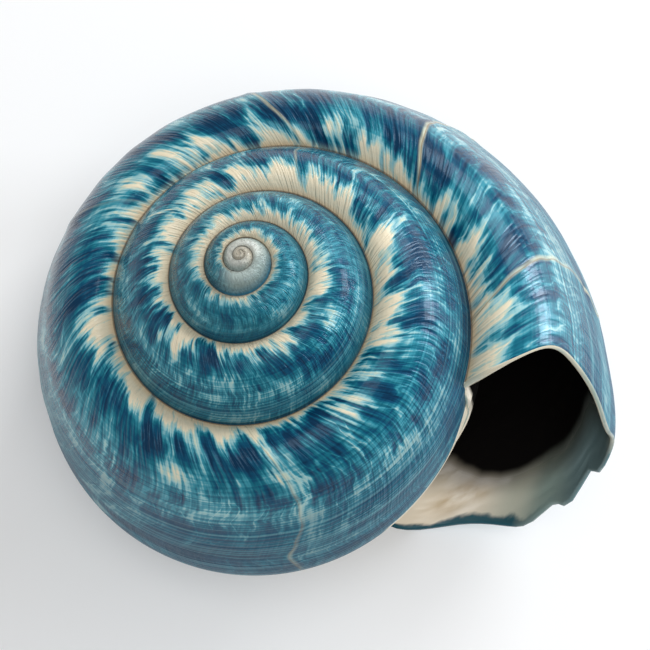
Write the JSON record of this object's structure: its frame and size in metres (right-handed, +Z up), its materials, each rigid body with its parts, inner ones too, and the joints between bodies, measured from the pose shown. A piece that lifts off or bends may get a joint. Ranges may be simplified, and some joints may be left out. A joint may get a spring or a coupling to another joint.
{
  "type": "spiral seashell",
  "caption": "Low-spired coiled sea snail shell with a wide open mouth, a thin lip and a hollow that winds into the last whorl.",
  "frame": {"origin": "middle of the shell's bounding box, on the ground plane it rests on", "axes": "+Z up, the spire points up and leans towards -X, the mouth opens towards -Y at the +X side"},
  "size_m": [0.0706, 0.061, 0.049],
  "materials": {
    "shell": "polished shell, glossy, dark navy and teal streaks on cream, cream and grey glaze inside the mouth"
  },
  "bodies": {
    "root": {"seashell": "shell"}
  },
  "joints": []
}
